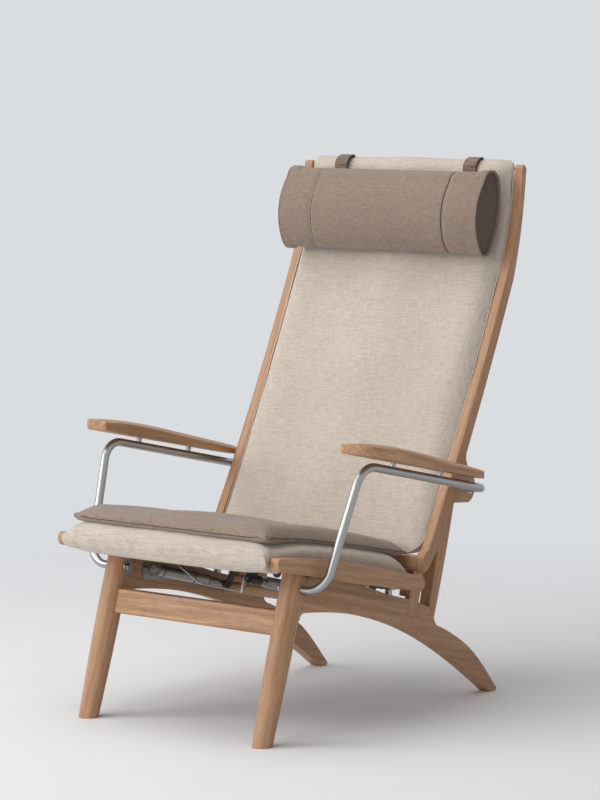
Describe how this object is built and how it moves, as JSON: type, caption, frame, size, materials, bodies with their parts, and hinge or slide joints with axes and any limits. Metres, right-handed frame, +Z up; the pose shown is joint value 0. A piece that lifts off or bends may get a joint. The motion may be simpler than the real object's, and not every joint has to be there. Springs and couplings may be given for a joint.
{
  "type": "reclining easy chair",
  "caption": "High-back reclining easy chair with a turned and curved wooden base, steel-tube arms, a sliding padded seat, a hinged padded back and a loose head pillow.",
  "frame": {"origin": "on the floor under the centre of the bounding box", "axes": "+Z up, +Y towards the back of the chair, +X towards the sitter's left"},
  "size_m": [0.711, 0.765, 1.0452],
  "materials": {
    "oiled_wood": "oiled hardwood, satin",
    "steel_tube": "satin steel tube",
    "seat_fabric": "woven upholstery",
    "back_fabric": "woven upholstery",
    "cushion_fabric": "woven upholstery, taupe",
    "pillow_fabric": "woven upholstery, taupe",
    "strap_fabric": "woven band, taupe",
    "webbing": "elastic webbing",
    "dark_steel": "black powder coat",
    "plain_steel": "satin",
    "black_plastic": "matt",
    "pale_plastic": "matt"
  },
  "bodies": {
    "base": {"front_leg_l": "oiled_wood", "front_leg_r": "oiled_wood", "side_rail_l": "oiled_wood", "side_rail_r": "oiled_wood", "stub_post_l": "oiled_wood", "stub_post_r": "oiled_wood", "rear_post_l": "oiled_wood", "rear_post_r": "oiled_wood", "front_stretcher": "oiled_wood", "mid_cross_rail": "oiled_wood", "rear_cross_rail": "oiled_wood", "arm_tube_l": "steel_tube", "arm_tube_r": "steel_tube", "arm_tube_nuts": "plain_steel", "armrest_l": "oiled_wood", "armrest_r": "oiled_wood", "armrest_standoffs": "steel_tube", "slide_rail_l": "plain_steel", "slide_rail_r": "plain_steel", "leg_glides": "pale_plastic", "stub_bumpers": "black_plastic", "pivot_spacers": "steel_tube", "spring_bracket": "dark_steel", "bracket_screws": "plain_steel", "spring_cylinder": "plain_steel", "lock_tube": "plain_steel", "lock_bracket": "dark_steel"},
    "seat": {"seat_rail_l": "oiled_wood", "seat_rail_r": "oiled_wood", "seat_front_rail": "oiled_wood", "seat_rear_rail": "oiled_wood", "seat_crossbar": "dark_steel", "seat_webbing": "webbing", "slide_carriage_l": "dark_steel", "slide_carriage_r": "dark_steel", "glide_strips": "dark_steel", "seat_pad": "seat_fabric", "seat_cushion": "cushion_fabric", "drive_cheeks": "dark_steel", "drive_pins": "plain_steel", "spring_rod": "plain_steel", "spring_hanger": "dark_steel", "lock_rod": "plain_steel", "lock_head": "dark_steel", "release_cable": "black_plastic"},
    "handle": {"release_handle": "black_plastic", "release_crank": "dark_steel"},
    "trigger": {"release_arm": "dark_steel"},
    "back": {"back_stile_l": "oiled_wood", "back_stile_r": "oiled_wood", "pivot_bushes": "pale_plastic", "back_top_rail": "oiled_wood", "back_lumbar_rail": "oiled_wood", "back_low_rail": "oiled_wood", "back_pad": "back_fabric", "drive_brackets": "dark_steel", "headrest_strap_l": "strap_fabric", "headrest_strap_r": "strap_fabric"},
    "pillow": {"headrest_pillow": "pillow_fabric"},
    "counterweight": {"headrest_counterweight": "pillow_fabric"}
  },
  "joints": [
    {"name": "back_recline", "type": "hinge", "parent": "base", "child": "back", "pos_m": [0, 0.1995, 0.422], "axis": [-1, 0, 0], "range_deg": [0, 15]},
    {"name": "seat_slide", "type": "slide", "parent": "base", "child": "seat", "axis": [0, -0.9681, 0.2504], "range_m": [0, 0.0352]},
    {"name": "release_pull", "type": "hinge", "parent": "seat", "child": "handle", "pos_m": [-0.262, -0.1565, 0.302], "axis": [-1, 0, 0], "range_deg": [0, 25], "stiffness_Nm_per_rad": 0.3, "springref_deg": -11.46},
    {"name": "release_trip", "type": "hinge", "parent": "seat", "child": "trigger", "pos_m": [0, -0.1405, 0.261], "axis": [-1, 0, 0], "range_deg": [0, 20.1]},
    {"name": "pillow_slide", "type": "slide", "parent": "back", "child": "pillow", "axis": [0, 0.3134, 0.9496], "range_m": [-0.08, 0]},
    {"name": "counterweight_slide", "type": "slide", "parent": "back", "child": "counterweight", "axis": [0, 0.3969, 0.9179], "range_m": [0, 0.08]}
  ],
  "couplings": [
    {"joint": "seat_slide", "follows": "back_recline", "m_per_rad": 0.13406},
    {"joint": "release_trip", "follows": "release_pull", "ratio": 0.8},
    {"joint": "counterweight_slide", "follows": "pillow_slide", "ratio": -1}
  ]
}
